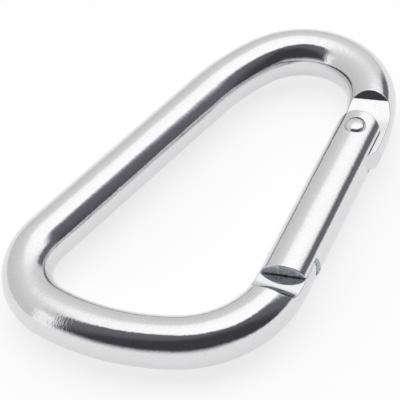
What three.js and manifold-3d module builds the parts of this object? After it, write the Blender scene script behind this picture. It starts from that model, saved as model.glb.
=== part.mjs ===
// A snap carabiner: a D of bent aluminium rod, closed by a round gate that turns on a rivet
// and is pushed shut by a coil spring and a plunger hidden in its bore.
// Millimetres, +Z up. The D lies flat, its straight spine runs along Y and its gate is on the +X side.
import * as THREE from 'three';
import { mergeVertices } from 'three/addons/utils/BufferGeometryUtils.js';
import Module from 'manifold-3d';

const wasm = await Module();
wasm.setup();

const DEGREE = Math.PI / 180;
const GAP = 0.3; // clearance between neighbouring pieces
const FAR = 9; // reach of a cutter past the rod it cuts

// The rod and its bends, walked clockwise from the foot of the spine round to the foot again.
const ROD_RADIUS = 4.0;
const ROD_SIDES = 24;
const ROD_STEPS = 96;
const TOP_EASE = arcLeg(38.0, 18 * DEGREE);
const TOP_BEND = arcLeg(12.0, 145 * DEGREE);
const FOOT_BEND = arcLeg(16.0, 70 * DEGREE);
const FOOT_EASE = arcLeg(38.0, 31 * DEGREE);
const HEEL_BEND = arcLeg(9.8, 96 * DEGREE);

// The rod's two milled ends. Distances along the gate line start where the top bend would end.
const BLADE_HALF = 1.8; // half the thickness of the tongue and of the nose
const TONGUE_EARLY = 17 * DEGREE; // how much of the top bend the tongue replaces with a wider one
const TONGUE_BEND_RADIUS = 32.0;
const TONGUE_RAMP = 20.5 * DEGREE; // the gentle slope from the tongue's flat up to its shoulder
const TONGUE_RAMP_TOP = 2.8; // height where the wall starts
const TONGUE_WALL_START = -1.85;
const TONGUE_WALL = 52 * DEGREE; // slope of the wall up to the rod's surface
const TONGUE_SKEW = 11.6 * DEGREE; // the shoulder is square to the bend and not to the gate line
const TONGUE_TIP_RADIUS = 5.1; // the tongue's round end, about the rivet
const TONGUE_ROUND_END = 82 * DEGREE; // how far that round goes outward of the gate line
const NOSE_TIP = 31.5;
const NOSE_SLANT = 1.5; // how much further back the nose's inner corner lies
const NOSE_CORNER = 1.2;
const NOSE_FLAT_END = 38.1;

// The gate, in its own frame: X from the rivet to the latch, Y outward, Z up.
const RIVET_STATION = 5.35; // rivet axis, measured along the gate line
const GATE_RADIUS = 4.1;
const GATE_LENGTH = 30.6; // rivet axis to the latch end, on the gate's axis
const GATE_HEEL = 3.3; // rivet axis to the hinge end
const GATE_HEEL_POWER = 2.6; // how square the hinge end is, 2 for an ellipse
const GATE_END_SKEW = 0.156; // how much longer the gate is per millimetre inward of its axis
const SLOT_HALF = BLADE_HALF + GAP;
const HINGE_SLOT_RADIUS = 6.8; // the hinge slot's floor, about the rivet
const LATCH_FLOOR_GAP = 0.4;

// The spring train inside the gate.
const GATE_TRAVEL = 28 * DEGREE;
const PLUNGER_TRAVEL = 1.4;
const PLUNGER_RATE = PLUNGER_TRAVEL / GATE_TRAVEL; // millimetres per radian
const PLUNGER_RADIUS = 1.2;
const PLUNGER_HEAD_LENGTH = 3.0;
const PLUNGER_STEM_RADIUS = 0.5;
const PLUNGER_STEM_LENGTH = 5.0;
const PLUNGER_CENTRE = 5.6; // rivet axis to the centre of the plunger's round tip
const BORE_RADIUS = PLUNGER_RADIUS + GAP;
const BORE_END = 21.9;
const WIRE_RADIUS = 0.2;
const SPRING_TURNS = 11;
const END_TURN_PITCH = 0.6;

// The rivet and its seats.
const RIVET_RADIUS = 1.1;
const RIVET_HEAD_RADIUS = 1.6;
const RIVET_HEAD_UNDERSIDE = 3.75;
const RIVET_HEAD_RIM = 3.85;
const RIVET_DOME_TOP = 4.45;
const SEAT_RADIUS = RIVET_HEAD_RADIUS + GAP;
const SEAT_DEPTH_HEIGHT = RIVET_HEAD_UNDERSIDE - GAP;
const RIVET_HOLE_RADIUS = RIVET_RADIUS + GAP;

/** One bend of the centre line: its length along the line and how far it turns clockwise. */
function arcLeg(radius, turn) {
  return { length: radius * turn, turn };
}

/** One straight of the centre line. */
function straightLeg(length) {
  return { length, turn: 0 };
}

/** Moves a point along part of a leg: an arc's chord leaves at half the angle that the arc turns. */
function advance(point, heading, leg, length) {
  const turn = leg.turn * length / leg.length;
  const chord = turn === 0 ? length : 2 * Math.sin(turn / 2) * length / turn;
  point.x += chord * Math.cos(heading - turn / 2);
  point.y += chord * Math.sin(heading - turn / 2);
  return heading - turn;
}

/** A flat centre line made of straights and clockwise arcs. */
class BentLine extends THREE.Curve {
  constructor(start, heading, legs) {
    super();
    this.start = start;
    this.heading = heading;
    this.legs = legs;
    this.total = legs.reduce((sum, leg) => sum + leg.length, 0);
  }

  getPoint(t, target = new THREE.Vector3()) {
    let left = t * this.total;
    let heading = this.heading;
    target.copy(this.start);
    for (const leg of this.legs) {
      const length = Math.min(left, leg.length);
      heading = advance(target, heading, leg, length);
      left -= length;
    }
    return target;
  }
}

/** A coil spring's wire along X: one close turn at each end and an even pitch between them. */
class SpringWire extends THREE.Curve {
  constructor(from, to, radius) {
    super();
    this.from = from;
    this.radius = radius;
    this.pitch = (to - from - 2 * END_TURN_PITCH) / (SPRING_TURNS - 2);
  }

  getPoint(t, target = new THREE.Vector3()) {
    const turns = t * SPRING_TURNS;
    const closeTurns = Math.min(turns, 1) + Math.max(turns - (SPRING_TURNS - 1), 0);
    const x = this.from + closeTurns * END_TURN_PITCH + (turns - closeTurns) * this.pitch;
    const angle = 2 * Math.PI * turns;
    return target.set(x, this.radius * Math.cos(angle), this.radius * Math.sin(angle));
  }
}

/** Points along an arc, both ends included. */
function arc(x, y, radius, from, to, steps) {
  const points = [];
  for (let i = 0; i <= steps; i += 1) {
    const angle = from + (to - from) * i / steps;
    points.push(new THREE.Vector2(x + radius * Math.cos(angle), y + radius * Math.sin(angle)));
  }
  return points;
}

/** Points along a quadratic curve that rounds a corner, both ends included. */
function roundedCorner(from, corner, to) {
  return new THREE.QuadraticBezierCurve(from, corner, to).getPoints(6);
}

/** A closed plan outline raised into a slab between two heights. */
function slab(outline, bottom, top) {
  const settings = { depth: top - bottom, bevelEnabled: false };
  return new THREE.ExtrudeGeometry(new THREE.Shape(outline), settings).translate(0, 0, bottom);
}

/** A closed outline in X and Z, drawn out along Y to both sides of the rod. */
function crossBar(outline) {
  const settings = { depth: 2 * FAR, bevelEnabled: false };
  const bar = new THREE.ExtrudeGeometry(new THREE.Shape(outline), settings);
  return bar.rotateX(Math.PI / 2).translate(0, FAR, 0);
}

/** A round bar along X whose facets stand the given radius from its axis, one of them on top. */
function barAlongX(radius, from, to) {
  const corner = radius / Math.cos(Math.PI / ROD_SIDES);
  const bar = new THREE.CylinderGeometry(corner, corner, to - from, ROD_SIDES);
  bar.rotateY(Math.PI / ROD_SIDES).rotateZ(-Math.PI / 2);
  return bar.translate((from + to) / 2, 0, 0);
}

/** An upright round pin or cutter on the given axis. */
function uprightPin(x, y, radius, bottom, top) {
  const pin = new THREE.CylinderGeometry(radius, radius, top - bottom, ROD_SIDES);
  return pin.rotateX(Math.PI / 2).translate(x, y, (bottom + top) / 2);
}

/** A closed geometry as a solid that can be cut and joined. */
function solid(geometry) {
  const bare = geometry.clone();
  bare.deleteAttribute('normal');
  bare.deleteAttribute('uv');
  const merged = mergeVertices(bare);
  const vertProperties = new Float32Array(merged.attributes.position.array);
  const triVerts = new Uint32Array(merged.index.array);
  return new wasm.Manifold(new wasm.Mesh({ numProp: 3, vertProperties, triVerts }));
}

/** A solid back as a geometry. */
function surfaceOf(body) {
  const mesh = body.getMesh();
  const geometry = new THREE.BufferGeometry();
  geometry.setAttribute('position', new THREE.BufferAttribute(mesh.vertProperties, 3));
  geometry.setIndex(new THREE.BufferAttribute(mesh.triVerts, 1));
  geometry.computeVertexNormals();
  return geometry;
}

/** The loop's layout: its two straights follow from the bends, because the line closes on itself. */
function layOutLoop() {
  const start = new THREE.Vector3();
  const up = Math.PI / 2;
  const gateHeading = up - TOP_EASE.turn - TOP_BEND.turn;
  const bends = new THREE.Vector3();
  let heading = up;
  for (const leg of [TOP_EASE, TOP_BEND, FOOT_BEND, FOOT_EASE, HEEL_BEND]) {
    heading = advance(bends, heading, leg, leg.length);
  }
  const gateLine = -bends.x / Math.cos(gateHeading);
  const spine = -bends.y - gateLine * Math.sin(gateHeading);
  const gateStart = new BentLine(start, up, [straightLeg(spine), TOP_EASE, TOP_BEND]).getPoint(1);
  return { spine, gateLine, gateHeading, gateStart };
}

const LOOP = layOutLoop();

/** Turns a geometry from gate-line coordinates to the loop's. */
function ontoGateLine(geometry) {
  return geometry.rotateZ(LOOP.gateHeading).translate(LOOP.gateStart.x, LOOP.gateStart.y, 0);
}

/** The bent rod before its ends are milled, from the nose round the D to the tongue. */
function bentRod() {
  const along = new THREE.Vector3(Math.cos(LOOP.gateHeading), Math.sin(LOOP.gateHeading), 0);
  const start = LOOP.gateStart.clone().addScaledVector(along, NOSE_TIP - 1);
  const topBend = arcLeg(TOP_BEND.length / TOP_BEND.turn, TOP_BEND.turn - TONGUE_EARLY);
  const tongueBend = arcLeg(TONGUE_BEND_RADIUS, TONGUE_EARLY + 12 * DEGREE);
  const legs = [
    straightLeg(LOOP.gateLine - NOSE_TIP + 1),
    FOOT_BEND,
    FOOT_EASE,
    HEEL_BEND,
    straightLeg(LOOP.spine),
    TOP_EASE,
    topBend,
    tongueBend,
  ];
  const corner = ROD_RADIUS / Math.cos(Math.PI / ROD_SIDES);
  const halfSide = Math.PI / ROD_SIDES;
  const section = arc(0, 0, corner, halfSide, 2 * Math.PI - halfSide, ROD_SIDES - 1);
  return new THREE.ExtrudeGeometry(new THREE.Shape(section), {
    extrudePath: new BentLine(start, LOOP.gateHeading, legs),
    steps: ROD_STEPS,
    bevelEnabled: false,
  });
}

/** A cutter that mills one face of the tongue: a flat, a gentle ramp and a sloping wall up to the rod. */
function tongueCutter(side) {
  const reach = 18;
  const outer = ROD_RADIUS + 2;
  const rampFoot = TONGUE_WALL_START + (TONGUE_RAMP_TOP - BLADE_HALF) / Math.tan(TONGUE_RAMP);
  const wallEnd = TONGUE_WALL_START - (outer - TONGUE_RAMP_TOP) / Math.tan(TONGUE_WALL);
  const outline = [
    new THREE.Vector2(reach, side * BLADE_HALF),
    new THREE.Vector2(rampFoot, side * BLADE_HALF),
    new THREE.Vector2(TONGUE_WALL_START, side * TONGUE_RAMP_TOP),
    new THREE.Vector2(wallEnd, side * outer),
    new THREE.Vector2(reach, side * outer),
  ];
  return solid(ontoGateLine(crossBar(outline).rotateZ(TONGUE_SKEW)));
}

/** A cutter that mills one face of the nose flat and leaves the rod in a hollow quarter-round. */
function noseCutter(side) {
  const reach = 10;
  const cutterRadius = ROD_RADIUS - BLADE_HALF;
  const outline = [
    new THREE.Vector2(NOSE_FLAT_END - reach, side * BLADE_HALF),
    ...arc(NOSE_FLAT_END, side * ROD_RADIUS, cutterRadius, -side * Math.PI / 2, 0, 10),
    new THREE.Vector2(NOSE_FLAT_END + cutterRadius, side * (ROD_RADIUS + 2)),
    new THREE.Vector2(NOSE_FLAT_END - reach, side * (ROD_RADIUS + 2)),
  ];
  return solid(ontoGateLine(crossBar(outline)));
}

/**
 * Everything past the tongue's tip. The tip is the plunger's cam: as the gate opens by an angle, the
 * centre of the plunger's round tip moves out in proportion, so the cam lies one tip radius and a
 * clearance inside that spiral. Outward of it lies a round pocket, and then the tongue's round end.
 */
function tongueTipCutter() {
  const clear = PLUNGER_RADIUS + GAP;
  const spiral = [];
  const steps = 16;
  for (let i = 0; i <= steps; i += 1) {
    const angle = (GATE_TRAVEL + 3 * DEGREE) * (1 - i / steps);
    const radius = PLUNGER_CENTRE + PLUNGER_RATE * angle;
    const lean = Math.atan2(PLUNGER_RATE, radius) - angle;
    const x = radius * Math.cos(angle) - clear * Math.cos(lean);
    const y = -radius * Math.sin(angle) - clear * Math.sin(lean);
    spiral.push(new THREE.Vector2(x, y));
  }
  const contact = Math.PI + Math.atan2(PLUNGER_RATE, PLUNGER_CENTRE);
  const reach = TONGUE_TIP_RADIUS ** 2 - PLUNGER_CENTRE ** 2 - clear ** 2;
  const pocketEnd = Math.acos(reach / (2 * PLUNGER_CENTRE * clear));
  const pocket = arc(PLUNGER_CENTRE, 0, clear, contact, pocketEnd, 10).slice(1);
  const roundStart = Math.asin(clear * Math.sin(pocketEnd) / TONGUE_TIP_RADIUS);
  const round = arc(0, 0, TONGUE_TIP_RADIUS, roundStart, TONGUE_ROUND_END, 16).slice(1);
  const outline = [
    new THREE.Vector2(spiral[0].x, -FAR),
    ...spiral,
    ...pocket,
    ...round,
    new THREE.Vector2(round[round.length - 1].x, FAR),
    new THREE.Vector2(2 * FAR, FAR),
    new THREE.Vector2(2 * FAR, -FAR),
  ];
  return solid(ontoGateLine(slab(outline, -FAR, FAR).translate(RIVET_STATION, 0, 0)));
}

/** Everything in front of the nose: its tip slants back toward the inside and has rounded corners. */
function noseTipCutter() {
  const outer = new THREE.Vector2(NOSE_TIP, ROD_RADIUS);
  const inner = new THREE.Vector2(NOSE_TIP + NOSE_SLANT, -ROD_RADIUS);
  const along = inner.clone().sub(outer).normalize().multiplyScalar(NOSE_CORNER);
  const back = new THREE.Vector2(NOSE_CORNER, 0);
  const outline = [
    new THREE.Vector2(outer.x + NOSE_CORNER, FAR),
    ...roundedCorner(outer.clone().add(back), outer, outer.clone().add(along)),
    ...roundedCorner(inner.clone().sub(along), inner, inner.clone().add(back)),
    new THREE.Vector2(inner.x + NOSE_CORNER, -FAR),
    new THREE.Vector2(NOSE_TIP - 3, -FAR),
    new THREE.Vector2(NOSE_TIP - 3, FAR),
  ];
  return solid(ontoGateLine(slab(outline, -FAR, FAR)));
}

/** The frame: the bent rod with its hinge tongue, bored for the rivet, and its latch nose. */
function frameSurface() {
  let body = solid(bentRod());
  for (const side of [1, -1]) {
    body = body.subtract(tongueCutter(side)).subtract(noseCutter(side));
  }
  const hole = uprightPin(RIVET_STATION, 0, RIVET_HOLE_RADIUS, -FAR, FAR);
  body = body.subtract(tongueTipCutter()).subtract(noseTipCutter());
  return surfaceOf(body.subtract(solid(ontoGateLine(hole))));
}

/** The hinge end's plan, from the inner side round to the outer: half of a squarish ellipse. */
function gateHeel() {
  const points = [];
  const steps = 20;
  for (let i = 0; i <= steps; i += 1) {
    const angle = Math.PI * (i / steps - 0.5);
    const back = Math.max(Math.cos(angle), 0) ** (2 / GATE_HEEL_POWER);
    const side = Math.sign(angle) * Math.abs(Math.sin(angle)) ** (2 / GATE_HEEL_POWER);
    points.push(new THREE.Vector2(-GATE_HEEL * back, GATE_RADIUS * side));
  }
  return points;
}

/** The gate: a round bar with a rounded hinge end, forked at both ends and bored from the hinge slot. */
function gateSurface() {
  const plan = [
    new THREE.Vector2(0, -FAR),
    ...gateHeel(),
    new THREE.Vector2(0, FAR),
    new THREE.Vector2(GATE_LENGTH - GATE_END_SKEW * FAR, FAR),
    new THREE.Vector2(GATE_LENGTH + GATE_END_SKEW * FAR, -FAR),
  ];
  const hingeSlot = [
    ...arc(0, 0, HINGE_SLOT_RADIUS, -0.5 * Math.PI, 0.5 * Math.PI, 24),
    new THREE.Vector2(-FAR, HINGE_SLOT_RADIUS),
    new THREE.Vector2(-FAR, -HINGE_SLOT_RADIUS),
  ];
  const floor = NOSE_TIP - RIVET_STATION - LATCH_FLOOR_GAP;
  const slantPerWidth = NOSE_SLANT / (2 * ROD_RADIUS);
  const latchSlot = [
    new THREE.Vector2(floor - slantPerWidth * (FAR - ROD_RADIUS), FAR),
    new THREE.Vector2(floor + slantPerWidth * (FAR + ROD_RADIUS), -FAR),
    new THREE.Vector2(GATE_LENGTH + FAR, -FAR),
    new THREE.Vector2(GATE_LENGTH + FAR, FAR),
  ];
  const bar = solid(barAlongX(GATE_RADIUS, -GATE_RADIUS - 1, GATE_LENGTH + 2));
  return surfaceOf(bar
    .intersect(solid(slab(plan, -FAR, FAR)))
    .subtract(solid(slab(hingeSlot, -SLOT_HALF, SLOT_HALF)))
    .subtract(solid(slab(latchSlot, -SLOT_HALF, SLOT_HALF)))
    .subtract(solid(barAlongX(BORE_RADIUS, HINGE_SLOT_RADIUS - 1, BORE_END)))
    .subtract(solid(uprightPin(0, 0, RIVET_HOLE_RADIUS, -FAR, FAR)))
    .subtract(solid(uprightPin(0, 0, SEAT_RADIUS, SEAT_DEPTH_HEIGHT, FAR)))
    .subtract(solid(uprightPin(0, 0, SEAT_RADIUS, -FAR, -SEAT_DEPTH_HEIGHT))));
}

/** The hinge rivet: a plain shank with a low domed head at both ends, turned about the rivet axis. */
function rivetSurface() {
  const rise = RIVET_DOME_TOP - RIVET_HEAD_RIM;
  const half = [];
  for (let i = 0; i <= 6; i += 1) {
    const angle = Math.PI / 2 * (1 - i / 6);
    const radius = RIVET_HEAD_RADIUS * Math.sin(angle);
    half.push(new THREE.Vector2(radius, RIVET_HEAD_RIM + rise * Math.cos(angle)));
  }
  half.unshift(new THREE.Vector2(RIVET_HEAD_RADIUS, RIVET_HEAD_UNDERSIDE));
  half.unshift(new THREE.Vector2(RIVET_RADIUS, RIVET_HEAD_UNDERSIDE));
  half[half.length - 1].x = 0;
  const mirrored = half.map((point) => new THREE.Vector2(point.x, -point.y)).reverse();
  return new THREE.LatheGeometry([...mirrored, ...half], ROD_SIDES).rotateX(Math.PI / 2);
}

/** The plunger: a round-tipped head that rides on the tongue and a stem that steadies the spring. */
function plungerSurface() {
  const shoulder = PLUNGER_CENTRE + PLUNGER_HEAD_LENGTH;
  const tip = arc(0, PLUNGER_CENTRE, PLUNGER_RADIUS, -0.5 * Math.PI, 0, 8);
  tip[0].x = 0;
  const profile = [
    ...tip,
    new THREE.Vector2(PLUNGER_RADIUS, shoulder),
    new THREE.Vector2(PLUNGER_STEM_RADIUS, shoulder),
    new THREE.Vector2(PLUNGER_STEM_RADIUS, shoulder + PLUNGER_STEM_LENGTH),
    new THREE.Vector2(0, shoulder + PLUNGER_STEM_LENGTH),
  ];
  return new THREE.LatheGeometry(profile, ROD_SIDES).rotateZ(-Math.PI / 2);
}

/** The coil spring between the plunger's shoulder and the blind end of the bore. */
function springSurface() {
  const from = PLUNGER_CENTRE + PLUNGER_HEAD_LENGTH + GAP + WIRE_RADIUS;
  const to = BORE_END - GAP - WIRE_RADIUS;
  const section = arc(0, 0, WIRE_RADIUS, 0, 1.75 * Math.PI, 7);
  return new THREE.ExtrudeGeometry(new THREE.Shape(section), {
    extrudePath: new SpringWire(from, to, PLUNGER_RADIUS - WIRE_RADIUS),
    steps: 16 * SPRING_TURNS,
    bevelEnabled: false,
  });
}

/** A named mesh with its own metal. */
function piece(name, geometry, color, roughness) {
  const mesh = new THREE.Mesh(geometry, new THREE.MeshStandardMaterial({ color, roughness, metalness: 1 }));
  mesh.name = name;
  return mesh;
}

const frame = piece('frame', frameSurface(), 0xcfd1d4, 0.15);

const gate = new THREE.Group();
gate.rotation.z = LOOP.gateHeading;
gate.position.copy(LOOP.gateStart);
gate.position.x += RIVET_STATION * Math.cos(LOOP.gateHeading);
gate.position.y += RIVET_STATION * Math.sin(LOOP.gateHeading);
gate.add(piece('gate', gateSurface(), 0xd2d4d7, 0.15));
gate.add(piece('hinge_rivet', rivetSurface(), 0xc4c6c9, 0.25));
gate.add(piece('spring_plunger', plungerSurface(), 0xb9a777, 0.3));
gate.add(piece('gate_spring', springSurface(), 0x9fa2a6, 0.3));

// The origin is the middle of the D's footprint, on the surface that the lower rivet head rests on.
const loop = new THREE.Group();
loop.add(frame, gate);
const footprint = new THREE.Box3().setFromObject(loop, true);
const middle = footprint.getCenter(new THREE.Vector3());
loop.position.set(-middle.x, -middle.y, -footprint.min.z);

const group = new THREE.Group();
group.add(loop);
export default group;
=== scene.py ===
"""A snap carabiner of polished aluminium: a bent rod frame and a sprung gate, in a plain studio."""
import logging
import math
from dataclasses import dataclass, field
from enum import Enum
from typing import Callable

import bmesh
import bpy
import numpy as np
from mathutils import Matrix, Vector


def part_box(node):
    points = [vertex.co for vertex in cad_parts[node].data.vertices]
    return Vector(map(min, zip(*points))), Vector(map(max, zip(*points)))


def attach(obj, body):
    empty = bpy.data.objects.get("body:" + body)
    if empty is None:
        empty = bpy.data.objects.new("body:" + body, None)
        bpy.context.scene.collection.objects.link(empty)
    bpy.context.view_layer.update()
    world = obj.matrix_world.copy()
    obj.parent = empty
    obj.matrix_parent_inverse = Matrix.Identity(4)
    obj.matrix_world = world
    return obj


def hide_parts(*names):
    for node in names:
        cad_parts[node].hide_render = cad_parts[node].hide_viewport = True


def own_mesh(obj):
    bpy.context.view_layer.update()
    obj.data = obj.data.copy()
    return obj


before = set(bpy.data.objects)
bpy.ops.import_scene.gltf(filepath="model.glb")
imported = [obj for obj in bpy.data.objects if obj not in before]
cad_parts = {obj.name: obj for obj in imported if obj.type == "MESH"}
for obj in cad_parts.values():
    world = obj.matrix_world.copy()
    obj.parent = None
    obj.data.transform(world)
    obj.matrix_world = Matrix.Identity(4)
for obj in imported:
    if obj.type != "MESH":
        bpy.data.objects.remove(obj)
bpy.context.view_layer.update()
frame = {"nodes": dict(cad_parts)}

LOG = logging.getLogger("carabiner")
MM = 0.001
RANGE = ("From Min", "From Max", "To Min", "To Max")

Array = np.ndarray
Stops = tuple[tuple[float, float], ...]
Piece = bpy.types.Object
Socket = bpy.types.NodeSocket
Value = Socket | float


class Side(Enum):
    """Which way a milled end of the rod points along the gate line."""

    TONGUE = 1
    NOSE = -1


@dataclass(frozen=True)
class Leg:
    """One straight or one clockwise arc of a centre line.

    Args:
        length: length along the line, in millimetres.
        turn: how far it turns clockwise, in radians; 0 for a straight.
    """

    length: float
    turn: float = 0.0


def arc_leg(radius: float, degrees: float) -> Leg:
    """Returns the leg of an arc: its length is radius times angle."""
    turn = math.radians(degrees)
    return Leg(radius * turn, turn)


@dataclass(frozen=True)
class CentreLine:
    """A flat line of straights and clockwise arcs.

    Args:
        start: the line's first point, in millimetres.
        heading: its first direction, in radians from +X.
        legs: the straights and arcs in order.
    """

    start: tuple[float, float]
    heading: float
    legs: tuple[Leg, ...]

    @property
    def total(self) -> float:
        """The line's whole length."""
        return sum(leg.length for leg in self.legs)

    def at(self, distance: Array) -> tuple[Array, Array]:
        """Finds points and headings along the line.

        Each leg adds a chord of 2 sin(turn / 2) / curvature that points half the turned angle
        clockwise of the leg's own start heading. Distances before the start or past the end carry
        straight on.

        Args:
            distance: distances from the start, any shape.

        Returns:
            The points, with a last axis of 2, and the headings.
        """
        x = np.full(distance.shape, self.start[0], float)
        y = np.full(distance.shape, self.start[1], float)
        heading = np.full(distance.shape, self.heading, float)
        done = 0.0
        for index, leg in enumerate(self.legs):
            low = -np.inf if index == 0 else 0.0
            high = np.inf if index == len(self.legs) - 1 else leg.length
            step = np.clip(distance - done, low, high)
            inside = np.clip(step, 0.0, leg.length)
            curvature = leg.turn / leg.length
            turn = curvature * inside
            chord = inside * np.sinc(turn / (2 * np.pi))
            x += chord * np.cos(heading - turn / 2)
            y += chord * np.sin(heading - turn / 2)
            heading -= turn
            x += (step - inside) * np.cos(heading)
            y += (step - inside) * np.sin(heading)
            done += leg.length
        return np.stack([x, y], -1), heading


@dataclass(frozen=True)
class LoopPlan:
    """The D's layout. Its two straights follow from the bends, because the line closes on itself."""

    rod_radius: float = 4.0
    top_ease: Leg = arc_leg(38.0, 18)
    top_bend: Leg = arc_leg(12.0, 145)
    foot_bend: Leg = arc_leg(16.0, 70)
    foot_ease: Leg = arc_leg(38.0, 31)
    heel_bend: Leg = arc_leg(9.8, 96)
    tongue_early: float = 17.0
    tongue_bend_radius: float = 32.0
    rivet_station: float = 5.35

    @property
    def gate_heading(self) -> float:
        """Direction of the gate line, in radians from +X."""
        return math.pi / 2 - self.top_ease.turn - self.top_bend.turn

    def straights(self) -> tuple[float, float]:
        """Returns the lengths of the spine and of the gate line."""
        bends = (self.top_ease, self.top_bend, self.foot_bend, self.foot_ease, self.heel_bend)
        point, _ = CentreLine((0.0, 0.0), math.pi / 2, bends).at(np.array(sum(b.length for b in bends)))
        gate_line = -point[0] / math.cos(self.gate_heading)
        spine = -point[1] - gate_line * math.sin(self.gate_heading)
        return float(spine), float(gate_line)

    def gate_start(self) -> Array:
        """Returns the point where the top bend meets the gate line, from the spine's foot."""
        line = CentreLine((0.0, 0.0), math.pi / 2,
                          (Leg(self.straights()[0]), self.top_ease, self.top_bend))
        return line.at(np.array(line.total))[0]

    def rod_line(self, nose_station: float, tongue_degrees: float) -> CentreLine:
        """Lays the rod from its nose round the D to its tongue.

        Args:
            nose_station: where on the gate line it starts.
            tongue_degrees: how far the wide bend of the tongue turns.

        Returns:
            The centre line, in the loop's own millimetres.
        """
        spine, gate_line = self.straights()
        heading = self.gate_heading
        along = np.array([math.cos(heading), math.sin(heading)])
        start = self.gate_start() + nose_station * along
        early = math.radians(self.tongue_early)
        radius = self.top_bend.length / self.top_bend.turn
        legs = (Leg(gate_line - nose_station), self.foot_bend, self.foot_ease, self.heel_bend, Leg(spine),
                self.top_ease, Leg(radius * (self.top_bend.turn - early), self.top_bend.turn - early),
                arc_leg(self.tongue_bend_radius, tongue_degrees))
        return CentreLine((float(start[0]), float(start[1])), heading, legs)


@dataclass(frozen=True)
class Placement:
    """How the loop and the gate line stand in the CAD frame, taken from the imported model."""

    plan: LoopPlan
    rivet: Array

    @property
    def axis(self) -> Array:
        """Unit direction of the gate, from rivet to latch."""
        return np.array([math.cos(self.plan.gate_heading), math.sin(self.plan.gate_heading)])

    @property
    def outward(self) -> Array:
        """Unit direction square to the gate, out of the D."""
        return np.array([-self.axis[1], self.axis[0]])

    @property
    def loop_shift(self) -> Array:
        """What moves the loop's own plane coordinates onto the frame's."""
        return self.rivet[:2] - self.plan.gate_start() - self.plan.rivet_station * self.axis

    def from_loop(self, points: Array) -> Array:
        """Moves points of the loop, in millimetres, into the frame, in metres."""
        shift = np.append(self.loop_shift, self.rivet[2])
        return (points + shift) * MM

    def from_gate(self, points: Array) -> Array:
        """Turns points of the gate, in millimetres about the rivet, into the frame, in metres."""
        plane = points[..., :1] * self.axis + points[..., 1:2] * self.outward
        flat = np.concatenate([plane, points[..., 2:]], -1)
        return (flat + self.rivet) * MM


def smooth_min(a: Array, b: Array, blend: float) -> Array:
    """Returns the lower of two values, rounded over where they are closer than blend."""
    near = np.clip(blend - np.abs(a - b), 0.0, None)
    return np.minimum(a, b) - near ** 2 / (4 * blend)


def make_mesh(name: str, points: Array, faces: list[Array], uv: Array | None = None) -> Piece:
    """Puts computed points and faces into a new object.

    Args:
        name: the object's name.
        points: vertices in metres, one row each.
        faces: arrays of vertex numbers, one row per face, all rows of an array equally long.
        uv: one pair per vertex: distance along and distance around, in metres.

    Returns:
        The linked object, at the origin.
    """
    mesh = bpy.data.meshes.new(name)
    loops = np.concatenate([f.reshape(-1) for f in faces])
    sizes = np.concatenate([np.full(len(f), f.shape[1]) for f in faces])
    mesh.vertices.add(len(points))
    mesh.vertices.foreach_set("co", points.astype(np.float32).reshape(-1))
    mesh.loops.add(len(loops))
    mesh.loops.foreach_set("vertex_index", loops.astype(np.int32))
    mesh.polygons.add(len(sizes))
    mesh.polygons.foreach_set("loop_start", np.concatenate([[0], np.cumsum(sizes)[:-1]]).astype(np.int32))
    if uv is not None:
        layer = mesh.uv_layers.new(name="Metal")
        layer.data.foreach_set("uv", uv[loops].astype(np.float32).reshape(-1))
    mesh.update(calc_edges=True)
    mesh.validate()
    piece = bpy.data.objects.new(name, mesh)
    bpy.context.scene.collection.objects.link(piece)
    return piece


def ring_grid(rings: int, sides: int) -> Array:
    """Returns the quads of a tube of rings, each ring closed, rings going up and sides going round."""
    ring, side = np.meshgrid(np.arange(rings - 1), np.arange(sides), indexing="ij")
    across = (side + 1) % sides
    near, far = ring * sides, (ring + 1) * sides
    quads = [near + side, near + across, far + across, far + side]
    return np.stack(quads, -1).reshape(-1, 4)


def zipper(first: int, sides: int, flip: bool) -> list[Array]:
    """Closes a tube's end by joining each vertex of its last ring to the one mirrored below it.

    Args:
        first: number of the ring's first vertex.
        sides: vertices in the ring, a multiple of 2, the first one on the outer edge.
        flip: whether the end faces backwards.

    Returns:
        The closing triangles and quads.
    """
    half = sides // 2
    k = np.arange(1, half - 1)
    quads = np.stack([first + k, first + k + 1, first + sides - k - 1, first + sides - k], -1)
    ends = np.array([[first, first + 1, first + sides - 1],
                     [first + half - 1, first + half, first + half + 1]])
    if flip:
        return [quads[:, ::-1], ends[:, ::-1]]
    return [quads, ends]


def finish_surface(piece: Piece, crease: float = 32.0) -> None:
    """Makes a piece's faces point outwards, smooths it and keeps edges sharper than the crease angle."""
    soft = bmesh.new()
    soft.from_mesh(piece.data)
    bmesh.ops.remove_doubles(soft, verts=soft.verts, dist=1e-7)
    bmesh.ops.recalc_face_normals(soft, faces=soft.faces)
    soft.to_mesh(piece.data)
    soft.free()
    piece.data.polygons.foreach_set("use_smooth", np.ones(len(piece.data.polygons), bool))
    piece.data.set_sharp_from_angle(angle=math.radians(crease))


def cut(piece: Piece, cutter: Piece) -> None:
    """Cuts one closed solid out of another and removes the cutter."""
    modifier = piece.modifiers.new("cut", "BOOLEAN")
    modifier.operation = "DIFFERENCE"
    modifier.solver = "EXACT"
    modifier.object = cutter
    graph = bpy.context.evaluated_depsgraph_get()
    result = bpy.data.meshes.new_from_object(piece.evaluated_get(graph))
    piece.modifiers.clear()
    old = piece.data
    piece.data = result
    bpy.data.meshes.remove(old)
    bpy.data.objects.remove(cutter)


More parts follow.
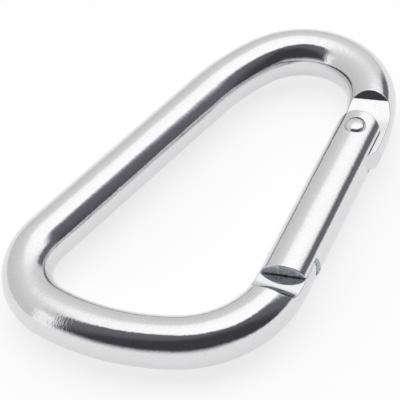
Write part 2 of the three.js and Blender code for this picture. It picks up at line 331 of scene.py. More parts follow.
def prism(name: str, outline: Array, low: float, high: float,
          place: Callable[[Array], Array]) -> Piece:
    """Raises a closed plan outline into a solid between two heights.

    Args:
        name: the solid's name.
        outline: plan points in millimetres, in order round the outline.
        low: lower height.
        high: upper height.
        place: turns millimetre points into the frame.

    Returns:
        The solid.
    """
    count = len(outline)
    floor = np.column_stack([outline, np.full(count, low)])
    roof = np.column_stack([outline, np.full(count, high)])
    caps = [np.arange(count)[None, ::-1], count + np.arange(count)[None, :]]
    piece = make_mesh(name, place(np.concatenate([floor, roof])), [ring_grid(2, count), *caps])
    finish_surface(piece)
    return piece


def turned(name: str, profile: Array, sides: int, place: Callable[[Array], Array],
           along_x: bool) -> Piece:
    """Turns a profile about an axis through the origin.

    A point of the profile (radius r, height h) becomes the circle (r cos a, r sin a, h). A profile
    starts and ends on the axis, and those two ends are closed by fans.

    Args:
        name: the piece's name.
        profile: rows of radius and height, in millimetres, first and last radius 0.
        sides: how many vertices go round.
        place: turns millimetre points into the frame.
        along_x: whether the axis is X rather than Z.

    Returns:
        The piece.
    """
    angle = np.arange(sides) * 2 * np.pi / sides
    inner = profile[1:-1]
    radius, height = inner[:, :1], inner[:, 1:]
    x, y, z = radius * np.cos(angle), radius * np.sin(angle), height + 0 * angle
    ring = np.stack([x, y, z], -1).reshape(-1, 3)
    poles = np.array([[0, 0, profile[0, 1]], [0, 0, profile[-1, 1]]])
    points = np.concatenate([ring, poles])
    if along_x:
        points = points[:, [2, 0, 1]]
    count = len(inner) * sides
    k = np.arange(sides)
    foot = np.stack([np.full(sides, count), (k + 1) % sides, k], -1)
    last = count - sides
    head = np.stack([np.full(sides, count + 1), last + k, last + (k + 1) % sides], -1)
    run = np.concatenate([[0], np.cumsum(np.hypot(*np.diff(profile, axis=0).T))])
    along = np.repeat(run[1:-1], sides)
    around = np.tile(angle, len(inner)) * np.repeat(inner[:, 0], sides)
    uv = np.concatenate([np.stack([along, around], -1), [[run[0], 0], [run[-1], 0]]]) * MM
    piece = make_mesh(name, place(points), [ring_grid(len(inner), sides), foot, head], uv)
    finish_surface(piece)
    return piece


def arc_points(x: float, y: float, radius: float, start: float, stop: float, steps: int) -> Array:
    """Returns points along an arc, angles in degrees, both ends included."""
    angle = np.radians(np.linspace(start, stop, steps + 1))
    return np.stack([x + radius * np.cos(angle), y + radius * np.sin(angle)], -1)


@dataclass(frozen=True)
class Tongue:
    """The milled profile of the tongue's faces, in the cutter's own direction.

    Args:
        half: half the tongue's thickness.
        ramp: gentle slope up from the flat, in degrees.
        wall_foot: height where the wall starts.
        wall_start: where the wall starts, along the cutter's direction.
        wall: slope of the wall up to the rod's surface, in degrees.
        skew: angle of the cutter's direction from the gate line, in degrees.
        soft: how far from the flat the bend into the ramp is felt.
    """

    half: float = 1.8
    ramp: float = 20.5
    wall_foot: float = 2.8
    wall_start: float = -1.85
    wall: float = 52.0
    skew: float = 11.6
    soft: float = 0.5

    def height(self, station: Array, across: Array) -> Array:
        """Returns how high the metal may stand above the middle plane.

        Walking back along the cutter's direction it is the half thickness on the flat, then the ramp,
        then the wall: the highest of three straight lines, with a soft bend between the first two.

        Args:
            station: distances along the gate line.
            across: distances outward of it.

        Returns:
            The height at each point.
        """
        skew, ramp, wall = (math.radians(v) for v in (self.skew, self.ramp, self.wall))
        back = self.wall_start - station * math.cos(skew) - across * math.sin(skew)
        slope = self.wall_foot + back * math.tan(ramp)
        floor = -smooth_min(-slope, np.full(back.shape, -self.half), self.soft)
        return np.maximum(floor, self.wall_foot + back * math.tan(wall))


@dataclass(frozen=True)
class Nose:
    """The milled profile of the nose's faces: a flat that ends in a hollow quarter circle.

    Args:
        half: half the nose's thickness.
        flat_end: where the flat meets the hollow, along the gate line.
    """

    half: float = 1.8
    flat_end: float = 38.1

    def height(self, station: Array, rod_radius: float) -> Array:
        """Returns how high the metal may stand above the middle plane at a gate-line station.

        The hollow has the cutter's radius and ends upright at the rod's own radius.
        """
        cutter = rod_radius - self.half
        past = np.clip(station - self.flat_end, 0, None)
        hollow = rod_radius - np.sqrt(np.clip(cutter ** 2 - past ** 2, 0, None))
        return np.where(past >= cutter, 10 * rod_radius, hollow)


@dataclass
class FrameRod:
    """The bent rod: milled to a tongue at the hinge and to a nose at the latch."""

    place: Placement
    tongue: Tongue = Tongue()
    nose: Nose = Nose()
    nose_tip: float = 31.5
    nose_slant: float = 1.5
    nose_corner: float = 1.2
    tip_radius: float = 5.1
    edge: float = 0.16
    sides: int = 176
    hole_radius: float = 1.4

    def tongue_tip(self, across: Array) -> Array:
        """Where the tongue ends along the gate, from the rivet, at a distance across it.

        Inward of the axis it is the plunger's cam: a spiral that rises evenly with the angle, set in by
        the plunger's radius. At the axis lies a round pocket, and outward of it a round about the rivet.
        """
        centre, clear, rate = 5.6, 1.5, 1.4 / math.radians(28)
        angle = np.radians(np.linspace(31, 0, 60))
        radius = centre + rate * angle
        lean = np.arctan2(rate, radius) - angle
        cam = np.stack([radius * np.cos(angle) - clear * np.cos(lean),
                        -radius * np.sin(angle) - clear * np.sin(lean)], -1)
        contact = 180 + math.degrees(math.atan2(rate, centre))
        meet = math.acos((self.tip_radius ** 2 - centre ** 2 - clear ** 2) / (2 * centre * clear))
        pocket = arc_points(centre, 0, clear, contact, math.degrees(meet), 30)[1:]
        start = math.degrees(math.asin(clear * math.sin(meet) / self.tip_radius))
        tip = arc_points(0, 0, self.tip_radius, start, 80, 60)[1:]
        outline = np.concatenate([cam, pocket, tip])
        return np.interp(across, outline[:, 1], outline[:, 0])

    def nose_end(self, across: Array) -> Array:
        """Where the nose ends along the gate line: a slanted line with a rounded corner at each side."""
        radius = self.place.plan.rod_radius
        line = self.nose_tip + self.nose_slant * (radius - across) / (2 * radius)
        inset = np.clip(np.abs(across) - (radius - self.nose_corner), 0, self.nose_corner)
        return line + self.nose_corner - np.sqrt(np.clip(self.nose_corner ** 2 - inset ** 2, 0, None))

    def stations(self, line: CentreLine) -> Array:
        """Returns ring distances along the rod, close together at the blades and on the bends."""
        nose_zone, shoulder_zone, tongue_zone = 10.5, 18.0, 12.0
        near_nose = np.linspace(0, nose_zone, 130)
        body = np.linspace(nose_zone, line.total - shoulder_zone, 160)[1:]
        shoulder = np.linspace(line.total - shoulder_zone, line.total - tongue_zone, 130)[1:-1]
        near_tongue = np.linspace(line.total - tongue_zone, line.total, 80)
        return np.concatenate([near_nose, body, shoulder, near_tongue])

    def build(self) -> Piece:
        """Builds the rod's surface.

        The grid runs along the rod and round it. A point is the centre line plus the rod radius times
        (cos a sideways, sin a up). Its height is then held under the blade's height by a smooth
        minimum, which leaves flat milled faces with a small round edge. Each column stops on the
        tip's outline, and near the outline the height and width draw in along a quarter circle. The
        attribute "Flat" is 1 on the milled faces and 0 on the round rod.

        Returns:
            The frame piece.
        """
        plan = self.place.plan
        line = plan.rod_line(self.nose_tip - 1.0, plan.tongue_early + 12)
        base = self.stations(line)
        angle = np.arange(self.sides) * 2 * np.pi / self.sides
        width = plan.rod_radius * np.cos(angle)
        first = self.column_limit(line, width, Side.NOSE)
        last = self.column_limit(line, width, Side.TONGUE)
        blend_nose, blend_tongue = 6.0, 9.0
        end = line.total
        toward_nose = np.clip(1 - base / blend_nose, 0, 1)[:, None]
        toward_tongue = np.clip(1 - (end - base) / blend_tongue, 0, 1)[:, None]
        distance = base[:, None] + toward_nose * first + toward_tongue * (last - end)
        from_nose, from_tongue = distance - first, last - distance
        points, heading = line.at(distance)
        sideways = np.stack([-np.sin(heading), np.cos(heading)], -1)
        inside = np.clip(self.edge - np.minimum(from_nose, from_tongue), 0, self.edge)
        draw = self.edge - np.sqrt(self.edge ** 2 - inside ** 2)
        plane = points + (width * (1 - draw / plan.rod_radius))[..., None] * sideways
        station = (plane - plan.gate_start()) @ self.place.axis
        across = (plane - plan.gate_start()) @ self.place.outward
        near_gate, uncut = np.abs(across) < 3 * plan.rod_radius, 99.0
        limit = np.where(base[:, None] > end / 2, self.tongue.height(station, across),
                         self.nose.height(station, plan.rod_radius))
        limit = np.where(near_gate, limit, uncut) - draw
        up = plan.rod_radius * np.abs(np.sin(angle)) + 0 * distance
        height = np.sign(np.sin(angle)) * np.clip(smooth_min(up, limit, self.edge), 0, None)
        height[:, [0, self.sides // 2]] = 0.0
        loop = np.concatenate([plane, height[..., None]], -1).reshape(-1, 3)
        uv = np.stack([distance, plan.rod_radius * angle + 0 * distance], -1).reshape(-1, 2) * MM
        rings = len(base)
        faces = [ring_grid(rings, self.sides), *zipper(0, self.sides, True),
                 *zipper((rings - 1) * self.sides, self.sides, False)]
        piece = make_mesh("frame_rod", self.place.from_loop(loop), faces, uv)
        flat = piece.data.attributes.new("Flat", "FLOAT", "POINT")
        milled = np.clip((up - limit) / self.edge, 0, 1)
        flat.data.foreach_set("value", milled.astype(np.float32).reshape(-1))
        finish_surface(piece)
        hole = arc_points(0, 0, self.hole_radius, 0, 352.5, 47)
        cut(piece, prism("tongue_hole", hole, -6, 6, self.place.from_gate))
        finish_surface(piece)
        return piece

    def column_limit(self, line: CentreLine, width: Array, side: Side) -> Array:
        """Finds how far along the rod each column meets the tip's outline.

        Starting from a guess, the distance is moved by what the column's end still lacks along the
        gate, which settles because the rod runs nearly along the gate there.

        Args:
            line: the rod's centre line.
            width: each column's sideways offset.
            side: which tip.

        Returns:
            The distance along the centre line for each column.
        """
        plan = self.place.plan
        distance = np.full(width.shape, 1.0 if side is Side.NOSE else line.total)
        settle, rounds = 0.7, 30
        for _ in range(rounds):
            points, heading = line.at(distance)
            plane = points + width[:, None] * np.stack([-np.sin(heading), np.cos(heading)], -1)
            offset = plane - plan.gate_start()
            station, across = offset @ self.place.axis, offset @ self.place.outward
            tip = self.nose_end(across) if side is Side.NOSE else self.tongue_tip(across) + plan.rivet_station
            distance = distance + settle * (tip - station)
        return distance


@dataclass
class Gate:
    """The gate: a round bar with a rounded hinge end, forked at both ends and bored for its spring."""

    place: Placement
    radius: float = 4.1
    length: float = 30.6
    heel: float = 3.3
    heel_power: float = 2.6
    end_skew: float = 0.156
    slot_half: float = 2.1
    hinge_floor: float = 6.8
    latch_floor: float = 25.75
    latch_slant: float = 1.5 / 8
    bore_radius: float = 1.5
    bore_end: float = 21.9
    seat_radius: float = 1.68
    seat_floor: float = 3.62
    hole_radius: float = 1.4
    edge: float = 0.18
    sides: int = 192

    def build(self) -> Piece:
        """Builds the gate.

        The bar's grid runs along it and round it: a point is (x, R cos a, R sin a). A column starts on
        the hinge end, a squarish ellipse, x = -heel (1 - |cos a|^p)^(1/p), and stops on the skewed latch
        end; near both the radius draws in along a quarter circle. Slots, bore, hole and seats are then cut.

        Returns:
            The gate piece.
        """
        angle = np.arange(self.sides) * 2 * np.pi / self.sides
        wide = self.radius * np.cos(angle)
        squared = np.clip(1 - np.abs(np.cos(angle)) ** self.heel_power, 0, None)
        low = -self.heel * squared ** (1 / self.heel_power)
        high = self.length - self.end_skew * wide
        rim = 0.012
        near = rim * np.sin(np.linspace(0, 0.5, 9) * np.pi) ** 2
        share = np.concatenate([near, np.linspace(rim, 1 - rim, 150)[1:-1], 1 - near[::-1]])[:, None]
        x = low + share * (high - low)
        gap = np.minimum(x - low, high - x)
        inside = np.clip(self.edge - gap, 0, self.edge)
        draw = self.edge - np.sqrt(self.edge ** 2 - inside ** 2)
        reach = self.radius - draw
        points = np.stack([x, reach * np.cos(angle), reach * np.sin(angle)], -1)
        points[:, [0, self.sides // 2], 2] = 0.0
        rings = len(share)
        faces = [ring_grid(rings, self.sides), *zipper(0, self.sides, True),
                 *zipper((rings - 1) * self.sides, self.sides, False)]
        uv = np.stack([x, self.radius * angle + 0 * x], -1).reshape(-1, 2) * MM
        piece = make_mesh("gate_bar", self.place.from_gate(points.reshape(-1, 3)), faces, uv)
        finish_surface(piece)
        for cutter in self.cutters():
            cut(piece, cutter)
        finish_surface(piece)
        self.mark_milled(piece)
        return piece

    def mark_milled(self, piece: Piece) -> None:
        """Writes the attribute "Milled": 1 on the end face and in the slots and the bore, 0 elsewhere."""
        mesh = piece.data
        count = len(mesh.polygons)
        centre, normal, loops = np.empty(3 * count), np.empty(3 * count), np.empty(count, int)
        mesh.polygons.foreach_get("center", centre)
        mesh.polygons.foreach_get("normal", normal)
        mesh.polygons.foreach_get("loop_total", loops)
        offset = centre.reshape(-1, 3) / MM - self.place.rivet
        across = offset[:, :2] @ self.place.outward
        facing = normal.reshape(-1, 3)[:, :2] @ self.place.axis
        inside = np.hypot(across, offset[:, 2]) < self.radius - 0.2
        in_slot = (np.abs(offset[:, 2]) < self.slot_half + 0.01) & inside
        milled = in_slot | (facing > 0.95)
        layer = mesh.attributes.new("Milled", "FLOAT", "CORNER")
        layer.data.foreach_set("value", np.repeat(milled.astype(np.float32), loops))

    def cutters(self) -> list[Piece]:
        """Returns the solids that cut the two slots, the bore, and the rivet's hole and seats."""
        far, place = 9.0, self.place.from_gate
        hinge = np.concatenate([arc_points(0, 0, self.hinge_floor, -90, 90, 72),
                                [[-far, self.hinge_floor], [-far, -self.hinge_floor]]])
        latch = np.array([[self.latch_floor - self.latch_slant * (far - 4), far], [self.length + far, far],
                          [self.length + far, -far], [self.latch_floor + self.latch_slant * (far + 4), -far]])
        bore = np.array([[0, self.hinge_floor - 1.0], [self.bore_radius, self.hinge_floor - 1.0],
                         [self.bore_radius, self.bore_end - 0.6], [0, self.bore_end]])
        spindle = np.array([[0, -far], [self.seat_radius + 0.05, -far], [self.seat_radius, -self.seat_floor],
                            [self.hole_radius, -self.seat_floor], [self.hole_radius, self.seat_floor],
                            [self.seat_radius, self.seat_floor], [self.seat_radius + 0.05, far], [0, far]])
        return [prism("hinge_slot", hinge, -self.slot_half, self.slot_half, place),
                prism("latch_slot", latch, -self.slot_half, self.slot_half, place),
                turned("bore", bore, 48, place, True),
                turned("rivet_seats", spindle, 72, place, False)]


@dataclass
class Rivet:
    """The hinge rivet, with a low domed head in a seat on each side."""

    place: Placement
    shank: float = 1.1
    head: float = 1.6
    underside: float = 3.66
    rim: float = 3.76
    top: float = 4.48
    sides: int = 96

    def build(self) -> Piece:
        """Turns the rivet.

        The head's dome is half an ellipse over its rim, and its lower edge is rounded.

        Returns:
            The rivet piece.
        """
        angle = np.linspace(np.pi / 2, 0, 25)
        cap = np.stack([self.head * np.sin(angle), self.rim + (self.top - self.rim) * np.cos(angle)], -1)
        cap[-1, 0] = 0.0
        half = np.concatenate([[[self.shank, 0.0], [self.shank, self.underside],
                                [self.head - 0.06, self.underside], [self.head, self.underside + 0.06]], cap])
        lower = half[1:][::-1] * [1, -1]
        return turned("hinge_rivet_pin", np.concatenate([lower, half[1:]]), self.sides, self.place.from_gate,
                      False)


@dataclass
class Plunger:
    """The pusher pin: a round-tipped head and a stem that steadies the spring."""

    place: Placement
    centre: float = 5.6
    radius: float = 1.2
    head: float = 3.0
    stem_radius: float = 0.5
    stem: float = 5.0

    def build(self) -> Piece:
        """Turns the plunger: a quarter circle at its tip, then its head, shoulder and stem."""
        tip = arc_points(0, self.centre, self.radius, -90, 0, 24)
        tip[0, 0] = 0.0
        shoulder = self.centre + self.head
        tail = shoulder + self.stem
        body = np.array([[self.radius, shoulder - 0.12], [self.radius - 0.12, shoulder],
                         [self.stem_radius, shoulder], [self.stem_radius, tail - 0.15],
                         [self.stem_radius - 0.15, tail], [0, tail]])
        return turned("plunger_pin", np.concatenate([tip, body]), 64, self.place.from_gate, True)


@dataclass
class Spring:
    """The coil spring between the plunger's shoulder and the end of the bore."""

    place: Placement
    start: float = 9.1
    stop: float = 21.4
    coil_radius: float = 1.0
    wire: float = 0.2
    turns: int = 11
    end_pitch: float = 0.6
    travel: float = 1.4

    def build(self) -> Piece:
        """Winds the wire.

        The wire's centre goes round the axis at an even rate, and along it by the close pitch in the
        first and last turn and by the open pitch between them. A ring round the wire is spanned by the
        direction away from the axis and by the one square to that and to the wire.

        Returns:
            The spring piece.
        """
        steps, sides = 44 * self.turns, 16
        turn = np.linspace(0, self.turns, steps + 1)
        pitch = (self.stop - self.start - 2 * self.end_pitch) / (self.turns - 2)
        close = np.minimum(turn, 1) + np.clip(turn - (self.turns - 1), 0, None)
        x = self.start + close * self.end_pitch + (turn - close) * pitch
        phase = 2 * np.pi * turn
        away = np.stack([0 * phase, np.cos(phase), np.sin(phase)], -1)
        centre = np.stack([x, 0 * x, 0 * x], -1) + self.coil_radius * away
        tangent = np.gradient(centre, axis=0)
        tangent /= np.linalg.norm(tangent, axis=1)[:, None]
        square = np.cross(tangent, away)
        angle = np.arange(sides) * 2 * np.pi / sides
        ring = (centre[:, None] + self.wire * (np.cos(angle)[None, :, None] * away[:, None]
                                              + np.sin(angle)[None, :, None] * square[:, None]))
        uv = np.stack(np.broadcast_arrays(turn[:, None] * 2 * np.pi * self.coil_radius,
                                          self.wire * angle[None, :]), -1).reshape(-1, 2) * MM
        faces = [ring_grid(steps + 1, sides), *zipper(0, sides, True), *zipper(steps * sides, sides, False)]
        piece = make_mesh("coil_spring", self.place.from_gate(ring.reshape(-1, 3)), faces, uv)
        finish_surface(piece, 50.0)
        return piece

    def shorten(self, piece: Piece) -> None:
        """Gives the spring piece its own copy of its mesh; it works out the spring's ends and an anchor but
        does not press the spring together.
        """
        low, high = self.start - self.wire, self.stop + self.wire
        anchor = Vector(self.place.from_gate(np.array([[high, 0.0, 0.0]]))[0])
        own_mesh(piece)


@dataclass(frozen=True)
class MetalFinish:
    """A bare metal's finish.

    Args:
        name: the material's name.
        colour: its reflectance, linear.
        roughness: mean gloss roughness.
        spread: how much the roughness varies.
        grain_along: grain length along the piece, in metres.
        grain_round: grain width round the piece, in metres.
        grain_depth: grain height, in metres.
        ripple_depth: height of the soft unevenness left by bending and tumbling, in metres.
        edge_round: radius of the worn edges, in metres.
        milled_roughness: roughness where the attribute "Milled" is 1; 0 for a piece without it.

    Where the attribute "Flat" is 1 the grain keeps a tenth of its height.
    """

    name: str
    colour: tuple[float, float, float]
    roughness: float
    spread: float
    grain_along: float
    grain_round: float
    grain_depth: float
    ripple_depth: float
    edge_round: float = 0.00012
    milled_roughness: float = 0.0

    def build(self) -> bpy.types.Material:
        """Builds the finish: grain in the piece's own UV, ripple and patches in its space.

        Returns:
            The material.
        """
        material = bpy.data.materials.new(self.name)
        material.use_nodes = True
        tree = material.node_tree
        nodes, link = tree.nodes, tree.links.new
        shader = nodes["Principled BSDF"]
        shader.inputs["Metallic"].default_value = 1.0
        uv = nodes.new("ShaderNodeUVMap")
        uv.uv_map = "Metal"
        space = nodes.new("ShaderNodeTexCoord")

        def noise(source: Socket, scale: tuple[float, float, float], detail: float,
                  rough: float) -> Socket:
            """Returns noise whose features are 1 / scale long along each axis."""
            stretch = nodes.new("ShaderNodeMapping")
            stretch.inputs["Scale"].default_value = scale
            link(source, stretch.inputs["Vector"])
            field_node = nodes.new("ShaderNodeTexNoise")
            field_node.inputs["Scale"].default_value = 1.0
            field_node.inputs["Detail"].default_value = detail
            field_node.inputs["Roughness"].default_value = rough
            link(stretch.outputs["Vector"], field_node.inputs["Vector"])
            return field_node.outputs["Fac"]

        def remap(source: Socket, low: float, high: float, to_low: float,
                  to_high: float) -> Socket:
            """Returns the source stretched from one range to another."""
            node = nodes.new("ShaderNodeMapRange")
            for name, value in zip(RANGE, (low, high, to_low, to_high)):
                node.inputs[name].default_value = value
            link(source, node.inputs["Value"])
            return node.outputs["Result"]

        def cut_colour() -> Socket:
            """Returns the torn metal's colour: light and dark flecks, a little blue."""
            flecks = nodes.new("ShaderNodeMix")
            flecks.data_type = "RGBA"
            flecks.inputs["A"].default_value = (0.50, 0.55, 0.62, 1.0)
            flecks.inputs["B"].default_value = (0.95, 0.97, 1.0, 1.0)
            torn = noise(space.outputs["Object"], (1900.0, 1900.0, 3200.0), 3.0, 0.7)
            link(remap(torn, 0.42, 0.62, 0.0, 1.0), flecks.inputs["Factor"])
            return flecks.outputs["Result"]

        grain = noise(uv.outputs["UV"], (1 / self.grain_along, 1 / self.grain_round, 1.0), 3.0, 0.6)
        ripple = noise(space.outputs["Object"], (260.0, 260.0, 260.0), 1.0, 0.4)
        patches = noise(space.outputs["Object"], (420.0, 420.0, 420.0), 4.0, 0.6)
        speck = noise(space.outputs["Object"], (3200.0, 3200.0, 3200.0), 2.0, 0.5)

        speck_tone, pit_depth = 0.96, 0.00012
        gloss = remap(patches, 0.3, 0.7, self.roughness - self.spread, self.roughness + self.spread)
        tint = nodes.new("ShaderNodeMix")
        tint.data_type = "RGBA"
        tint.inputs["A"].default_value = (*(speck_tone * c for c in self.colour), 1.0)
        tint.inputs["B"].default_value = (*self.colour, 1.0)
        link(remap(speck, 0.35, 0.6, 0.0, 1.0), tint.inputs["Factor"])
        colour, depth = tint.outputs["Result"], None
        if self.milled_roughness > 0.0:
            milled = nodes.new("ShaderNodeAttribute")
            milled.attribute_name = "Milled"
            share = milled.outputs["Fac"]
            coarse = nodes.new("ShaderNodeMix")
            coarse.inputs["B"].default_value = self.milled_roughness
            link(share, coarse.inputs["Factor"])
            link(gloss, coarse.inputs["A"])
            gloss = coarse.outputs["Result"]
            mill_tint = nodes.new("ShaderNodeMix")
            mill_tint.data_type = "RGBA"
            link(cut_colour(), mill_tint.inputs["B"])
            link(share, mill_tint.inputs["Factor"])
            link(colour, mill_tint.inputs["A"])
            colour = mill_tint.outputs["Result"]
            depth = remap(share, 0.0, 1.0, 0.0, pit_depth)
        link(gloss, shader.inputs["Roughness"])
        link(colour, shader.inputs["Base Color"])

        rounded = nodes.new("ShaderNodeBevel")
        rounded.samples = 6
        rounded.inputs["Radius"].default_value = self.edge_round
        swell = nodes.new("ShaderNodeBump")
        swell.inputs["Distance"].default_value = self.ripple_depth
        link(ripple, swell.inputs["Height"])
        link(rounded.outputs["Normal"], swell.inputs["Normal"])
        lines = nodes.new("ShaderNodeBump")
        flat = nodes.new("ShaderNodeAttribute")
        flat.attribute_name = "Flat"
        kept_grain = 0.1 * self.grain_depth
        link(remap(flat.outputs["Fac"], 0.0, 1.0, self.grain_depth, kept_grain), lines.inputs["Distance"])
        link(grain, lines.inputs["Height"])
        link(swell.outputs["Normal"], lines.inputs["Normal"])
        normal = lines.outputs["Normal"]
        if depth is not None:
            pits = nodes.new("ShaderNodeBump")
            link(noise(space.outputs["Object"], (2400.0, 2400.0, 2400.0), 2.0, 0.6), pits.inputs["Height"])
            link(depth, pits.inputs["Distance"])
            link(normal, pits.inputs["Normal"])
            normal = pits.outputs["Normal"]
        link(normal, shader.inputs["Normal"])
        return material


@dataclass(frozen=True)
class Finishes:
    """Every finish on the carabiner."""

    frame: MetalFinish = MetalFinish("polished_frame_aluminium", (0.735, 0.735, 0.745), 0.07, 0.025,
                                     0.0004, 0.0008, 0.000018, 0.00003)
    gate: MetalFinish = MetalFinish("polished_gate_aluminium", (0.745, 0.745, 0.755), 0.06, 0.02,
                                    0.0005, 0.0014, 0.000020, 0.00002, milled_roughness=0.6)
    rivet: MetalFinish = MetalFinish("pressed_rivet_aluminium", (0.74, 0.745, 0.76), 0.16, 0.04,
                                     0.0005, 0.0005, 0.000004, 0.00002)
    spring: MetalFinish = MetalFinish("drawn_spring_steel", (0.52, 0.53, 0.55), 0.24, 0.05,
                                      0.002, 0.0002, 0.000003, 0.000002)
    plunger: MetalFinish = MetalFinish("turned_brass", (0.78, 0.62, 0.33), 0.2, 0.05,
                                       0.0002, 0.002, 0.000004, 0.000002)


@dataclass(frozen=True)
class Viewpoint:
    """Where the camera stands: on a line from its target, at an azimuth and an elevation."""

    azimuth: float = 47.848
    elevation: float = 48.641
    roll: float = -8.490
    distance: float = 238.53
    target: tuple[float, float] = (14.209, 20.476)
    lens: float = 135.84
    sensor: float = 36.0


@dataclass
class Studio:
    """A pale floor, a soft dome of light behind and above the object, and the camera.

    Args:
        place: how the loop stands in the frame.
        view: where the camera stands.
        edge: how far ahead the bright part starts, against how far aside.
        bright: the bright part's level, against height plus a third of aside.
        dim: the dim part's level, against ahead.
        dim_tint: colour of the dim part.
        softness: half the width of the turn from dim to bright, on the left and on the right.
        lip: how much brighter the edge is far on the left.
        floor_level: the dome's level at the dim part's horizon.
        floor_glow: share of the floor's brightness that takes no shadow.
        fill: power of the overhead fill, in watts.
    """

    place: Placement
    view: Viewpoint = field(default_factory=Viewpoint)
    edge: Stops = ((-1.0, -0.50), (-0.85, -0.39), (-0.76, -0.29), (-0.67, -0.17), (-0.60, -0.08),
                   (-0.56, -0.02), (-0.42, 0.05), (-0.20, -0.02), (0.0, -0.16), (0.28, -0.22),
                   (0.40, -0.14), (0.54, -0.02), (0.67, 0.02), (1.0, 0.03))
    bright: Stops = ((-1.0, 0.73), (0.1, 0.73), (0.45, 0.80), (0.65, 0.87), (0.73, 0.95), (0.80, 1.20),
                     (0.90, 1.30), (1.0, 1.33))
    dim: Stops = ((-1.0, 0.058), (-0.55, 0.060), (-0.45, 0.085), (-0.35, 0.14), (-0.20, 0.165), (1.0, 0.20))
    dim_tint: tuple[float, float, float] = (0.97, 0.96, 1.10)
    softness: tuple[float, float] = (0.035, 0.20)
    lip: float = 0.42
    floor_level: float = 0.95
    floor_glow: float = 0.67
    fill: float = 10.0

    def directions(self) -> tuple[Vector, Vector, Vector]:
        """Returns the camera's backward, right and up directions, with its roll."""
        az, el, roll = (math.radians(v) for v in (self.view.azimuth, self.view.elevation, self.view.roll))
        back = Vector((math.sin(az) * math.cos(el), -math.cos(az) * math.cos(el), math.sin(el)))
        right = (-back).cross(Vector((0, 0, 1))).normalized()
        up = right.cross(-back)
        rolled_right = right * math.cos(roll) + up * math.sin(roll)
        rolled_up = -right * math.sin(roll) + up * math.cos(roll)
        return back, rolled_right, rolled_up

    def add_camera(self) -> None:
        """Adds the camera."""
        back, right, up = self.directions()
        target = Vector(self.place.from_loop(np.array([*self.view.target, 0.0])))
        data = bpy.data.cameras.new("camera")
        data.lens = self.view.lens
        data.sensor_width = self.view.sensor
        data.clip_start = 0.001
        camera = bpy.data.objects.new("camera", data)
        turn = Matrix((right, up, back)).transposed().to_4x4()
        camera.matrix_world = Matrix.Translation(target + back * self.view.distance * MM) @ turn
        bpy.context.scene.collection.objects.link(camera)
        bpy.context.scene.camera = camera

    def add_floor(self) -> None:
        """Adds the pale floor."""
        half = 6.0
        corners = np.array([[-half, -half, 0], [half, -half, 0], [half, half, 0], [-half, half, 0]])
        floor = make_mesh("floor", corners, [np.array([[0, 1, 2, 3]])])
        material = bpy.data.materials.new("floor_paper")
        material.use_nodes = True
        shader = material.node_tree.nodes["Principled BSDF"]
        shader.inputs["Base Color"].default_value = (0.40, 0.40, 0.40, 1.0)
        shader.inputs["Roughness"].default_value = 0.9
        shader.inputs["Specular IOR Level"].default_value = 0.1
        shader.inputs["Emission Color"].default_value = (1.0, 1.0, 1.0, 1.0)
        shader.inputs["Emission Strength"].default_value = self.floor_glow
        floor.data.materials.append(material)

    def set_tones(self) -> None:
        """Keeps plain display tones, so that the pale floor stays pale."""
        bpy.context.scene.view_settings.view_transform = "Standard"

    def add_light(self) -> None:
        """Adds the light: a dome around the object, and an overhead fill that whitens the floor.

        The dome is drawn from three shares of a direction: ahead (away from the camera), aside (to its
        right) and height. It is bright where ahead passes the edge curve, except in a low patch on the
        right, and its brightness there rises with height. The rest is dim, and melts into the floor's
        brightness near the horizon.
        """
        world = bpy.data.worlds.new("studio")
        bpy.context.scene.world = world
        world.use_nodes = True
        nodes, link = world.node_tree.nodes, world.node_tree.links.new
        az = math.radians(self.view.azimuth)
        away, right = np.array([-math.sin(az), math.cos(az)]), np.array([math.cos(az), math.sin(az)])
        place = nodes.new("ShaderNodeTexCoord")

        def dot(plane: Array, up: float) -> Socket:
            """Returns the share of a direction along a fixed one."""
            node = nodes.new("ShaderNodeVectorMath")
            node.operation = "DOT_PRODUCT"
            node.inputs[1].default_value = (float(plane[0]), float(plane[1]), up)
            link(place.outputs["Generated"], node.inputs[0])
            return node.outputs["Value"]

        def span(source: Socket, low: float, high: float, to_low: float, to_high: float,
                 smooth: bool = True) -> Socket:
            """Returns the source stretched from one range to another."""
            node = nodes.new("ShaderNodeMapRange")
            node.interpolation_type = "SMOOTHSTEP" if smooth else "LINEAR"
            for name, value in zip(RANGE, (low, high, to_low, to_high)):
                node.inputs[name].default_value = value
            link(source, node.inputs["Value"])
            return node.outputs["Result"]

        def curve(source: Socket, stops: Stops) -> Socket:
            """Returns the source, which runs from -1 to 1, read off a line through the stops."""
            ramp = nodes.new("ShaderNodeValToRGB")
            elements = ramp.color_ramp.elements
            elements[0].position, elements[1].position = 0.0, 1.0
            for index, (at, value) in enumerate(stops):
                ends = {0: elements[0], len(stops) - 1: elements[-1]}
                element = ends.get(index) or elements.new((at + 1) / 2)
                element.color = ((value + 1) / 2,) * 3 + (1.0,)
            link(span(source, -1.0, 1.0, 0.0, 1.0, False), ramp.inputs["Fac"])
            back = join("MULTIPLY", ramp.outputs["Color"], 2.0)
            return join("SUBTRACT", back, 1.0)

        def feed(node: bpy.types.Node, values: dict[str | int, Value]) -> None:
            """Sets a node's inputs, each to a number or to another node's output."""
            for name, value in values.items():
                if isinstance(value, float):
                    node.inputs[name].default_value = value
                else:
                    link(value, node.inputs[name])

        def join(operation: str, first: Value, second: Value) -> Socket:
            """Returns two values joined by one operation."""
            node = nodes.new("ShaderNodeMath")
            node.operation = operation
            feed(node, {0: first, 1: second})
            return node.outputs["Value"]

        def blend(share: Value, first: Value, second: Value) -> Socket:
            """Returns a value between two others."""
            node = nodes.new("ShaderNodeMix")
            feed(node, {"Factor": share, "A": first, "B": second})
            return node.outputs["Result"]

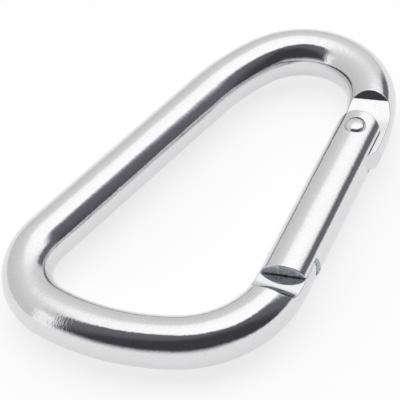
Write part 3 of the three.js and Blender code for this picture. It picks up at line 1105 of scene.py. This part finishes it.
        ahead, aside, height = dot(away, 0.0), dot(right, 0.0), dot(np.zeros(2), 1.0)
        past = join("SUBTRACT", ahead, curve(aside, self.edge))
        corner = span(dot(-0.68 * away + 0.73 * right, 0.0), -0.08, 0.08, 0.0, 1.0)
        patch = join("MULTIPLY", corner, span(height, 0.36, 0.50, 1.0, 0.0))
        turn = join("DIVIDE", past, span(aside, 0.3, 0.8, *self.softness))
        lit = join("MULTIPLY", span(turn, -1.0, 1.0, 0.0, 1.0), join("SUBTRACT", 1.0, patch))
        bright = curve(join("ADD", height, join("MULTIPLY", aside, 0.32)), self.bright)
        lip = join("MULTIPLY", span(aside, -0.78, -0.66, self.lip, 0.0), span(past, 0.14, 0.28, 1.0, 0.0))
        reach = span(aside, 0.2, 0.9, 0.38, 0.10)
        glow = span(join("DIVIDE", height, reach), 0.0, 1.0, 1.0, 0.0)
        dim = blend(glow, curve(ahead, self.dim), self.floor_level)
        level = blend(lit, dim, join("ADD", bright, lip))
        tint = nodes.new("ShaderNodeMix")
        tint.data_type = "RGBA"
        tint.inputs["A"].default_value = (*self.dim_tint, 1.0)
        tint.inputs["B"].default_value = (1.0, 1.0, 0.99, 1.0)
        link(join("MAXIMUM", lit, glow), tint.inputs["Factor"])
        scaled = nodes.new("ShaderNodeVectorMath")
        scaled.operation = "SCALE"
        link(tint.outputs["Result"], scaled.inputs[0])
        link(level, scaled.inputs["Scale"])
        link(scaled.outputs["Vector"], nodes["Background"].inputs["Color"])

        data = bpy.data.lights.new("floor_fill", "AREA")
        data.shape = "DISK"
        data.size = 3.0
        data.energy = self.fill
        lamp = bpy.data.objects.new("floor_fill", data)
        lamp.location = (0.0, 0.0, 2.0)
        lamp.visible_glossy = False
        bpy.context.scene.collection.objects.link(lamp)


def add_piece(piece: Piece, body: str, node: str, finish: bpy.types.Material) -> None:
    """Dresses a piece, puts it on its body and lets it stand for its CAD node."""
    piece.data.materials.clear()
    piece.data.materials.append(finish)
    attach(piece, body)
    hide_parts(node)
    LOG.info("%s: %d faces", piece.name, len(piece.data.polygons))


def main() -> None:
    """Builds the carabiner and its studio."""
    logging.basicConfig(level=logging.INFO)
    low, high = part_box("hinge_rivet")
    rivet = np.array((low + high) / 2) / MM
    place = Placement(LoopPlan(), rivet)
    finishes = Finishes()
    studio = Studio(place)
    studio.add_camera()
    add_piece(FrameRod(place).build(), "frame", "frame", finishes.frame.build())
    add_piece(Gate(place).build(), "gate", "gate", finishes.gate.build())
    add_piece(Rivet(place).build(), "gate", "hinge_rivet", finishes.rivet.build())
    coil = Spring(place)
    spring = coil.build()
    add_piece(spring, "gate", "gate_spring", finishes.spring.build())
    coil.shorten(spring)
    add_piece(Plunger(place).build(), "plunger", "spring_plunger", finishes.plunger.build())
    studio.add_floor()
    studio.add_light()
    studio.set_tones()


if __name__ == "__main__":
    main()
